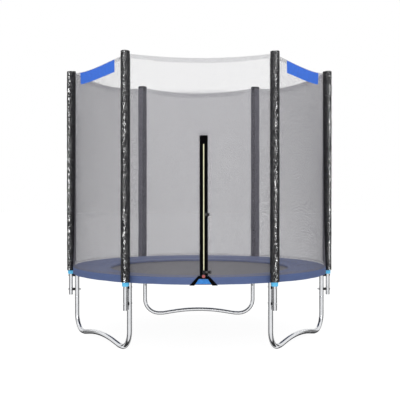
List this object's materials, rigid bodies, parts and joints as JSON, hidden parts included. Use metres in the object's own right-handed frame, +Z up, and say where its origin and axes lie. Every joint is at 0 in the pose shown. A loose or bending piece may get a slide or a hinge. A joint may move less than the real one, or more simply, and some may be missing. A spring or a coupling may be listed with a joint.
{
  "type": "trampoline",
  "caption": "Round garden trampoline on three W-shaped legs with a spring-hung mat, padded rim and a netted enclosure with a zipped door.",
  "frame": {"origin": "on the ground under the middle of the mat", "axes": "+Z up; -Y towards the front, where the zipped door is; +X to the right seen from the front"},
  "size_m": [1.946, 1.8497, 1.9123],
  "materials": {
    "galvanised_steel": "bright zinc-plated tube, smooth",
    "black_plastic": "black moulded plastic, satin",
    "foam": "light blue closed-cell foam",
    "sleeve_vinyl": "black crinkled vinyl, glossy folds",
    "net": "dark grey knitted mesh, see-through",
    "mat_cloth": "black woven polypropylene",
    "pad_vinyl": "slate blue coated cloth, satin",
    "black_webbing": "black woven webbing",
    "blue_cloth": "bright blue cloth",
    "patch_cloth": "bright blue cloth, bare",
    "tag_red": "red moulded tag, bare"
  },
  "bodies": {
    "frame": {"top_rail_right_rear": "galvanised_steel", "top_rail_rear": "galvanised_steel", "top_rail_left_rear": "galvanised_steel", "top_rail_left_front": "galvanised_steel", "top_rail_front": "galvanised_steel", "top_rail_right_front": "galvanised_steel", "leg_rear": "galvanised_steel", "leg_left_front": "galvanised_steel", "leg_right_front": "galvanised_steel", "enclosure_pole_right": "galvanised_steel", "enclosure_pole_rear_right": "galvanised_steel", "enclosure_pole_rear_left": "galvanised_steel", "enclosure_pole_left": "galvanised_steel", "enclosure_pole_front_left": "galvanised_steel", "enclosure_pole_front_right": "galvanised_steel", "foam_tube_right": "foam", "foam_tube_rear_right": "foam", "foam_tube_rear_left": "foam", "foam_tube_left": "foam", "foam_tube_front_left": "foam", "foam_tube_front_right": "foam", "pole_sleeve_right": "sleeve_vinyl", "pole_sleeve_rear_right": "sleeve_vinyl", "pole_sleeve_rear_left": "sleeve_vinyl", "pole_sleeve_left": "sleeve_vinyl", "pole_sleeve_front_left": "sleeve_vinyl", "pole_sleeve_front_right": "sleeve_vinyl", "pole_clamp_right_lower": "black_plastic", "pole_clamp_right_upper": "black_plastic", "pole_clamp_rear_right_lower": "black_plastic", "pole_clamp_rear_right_upper": "black_plastic", "pole_clamp_rear_left_lower": "black_plastic", "pole_clamp_rear_left_upper": "black_plastic", "pole_clamp_left_lower": "black_plastic", "pole_clamp_left_upper": "black_plastic", "pole_clamp_front_left_lower": "black_plastic", "pole_clamp_front_left_upper": "black_plastic", "pole_clamp_front_right_lower": "black_plastic", "pole_clamp_front_right_upper": "black_plastic", "safety_pad": "pad_vinyl", "net_panel_right_rear": "net", "net_panel_rear": "net", "net_panel_left_rear": "net", "net_panel_left_front": "net", "net_panel_front": "net", "net_panel_right_front": "net", "patch_left_front": "patch_cloth", "patch_right_front": "patch_cloth", "door_zip_tape": "black_webbing", "buckle_socket_middle": "black_plastic", "buckle_socket_lower": "black_plastic", "door_straps": "black_webbing", "door_flap": "blue_cloth", "door_tag": "tag_red"},
    "mat": {"jumping_mat": "mat_cloth", "spring_ring": "black_webbing"},
    "zip_slider": {"zip_slider": "black_plastic"},
    "zip_pull": {"zip_pull": "black_plastic"},
    "middle_plug": {"buckle_plug_middle": "black_plastic"},
    "lower_plug": {"buckle_plug_lower": "black_plastic"}
  },
  "joints": [
    {"name": "mat_bounce", "type": "slide", "parent": "frame", "child": "mat", "axis": [0, 0, 1], "range_m": [-0.12, 0], "stiffness_N_per_m": 5000, "springref_m": 0.02, "deforming": ["spring_ring"]},
    {"name": "zip_slide", "type": "slide", "parent": "frame", "child": "zip_slider", "axis": [0, 0.0879, 0.9961], "range_m": [0, 0.789]},
    {"name": "zip_pull_swing", "type": "hinge", "parent": "zip_slider", "child": "zip_pull", "pos_m": [0.02198, -0.92726, 0.52402], "axis": [-1, 0, 0], "range_deg": [0, 110]},
    {"name": "middle_buckle_release", "type": "slide", "parent": "frame", "child": "middle_plug", "axis": [1, 0, 0], "range_m": [0, 0.02]},
    {"name": "lower_buckle_release", "type": "slide", "parent": "frame", "child": "lower_plug", "axis": [1, 0, 0], "range_m": [0, 0.02]}
  ]
}
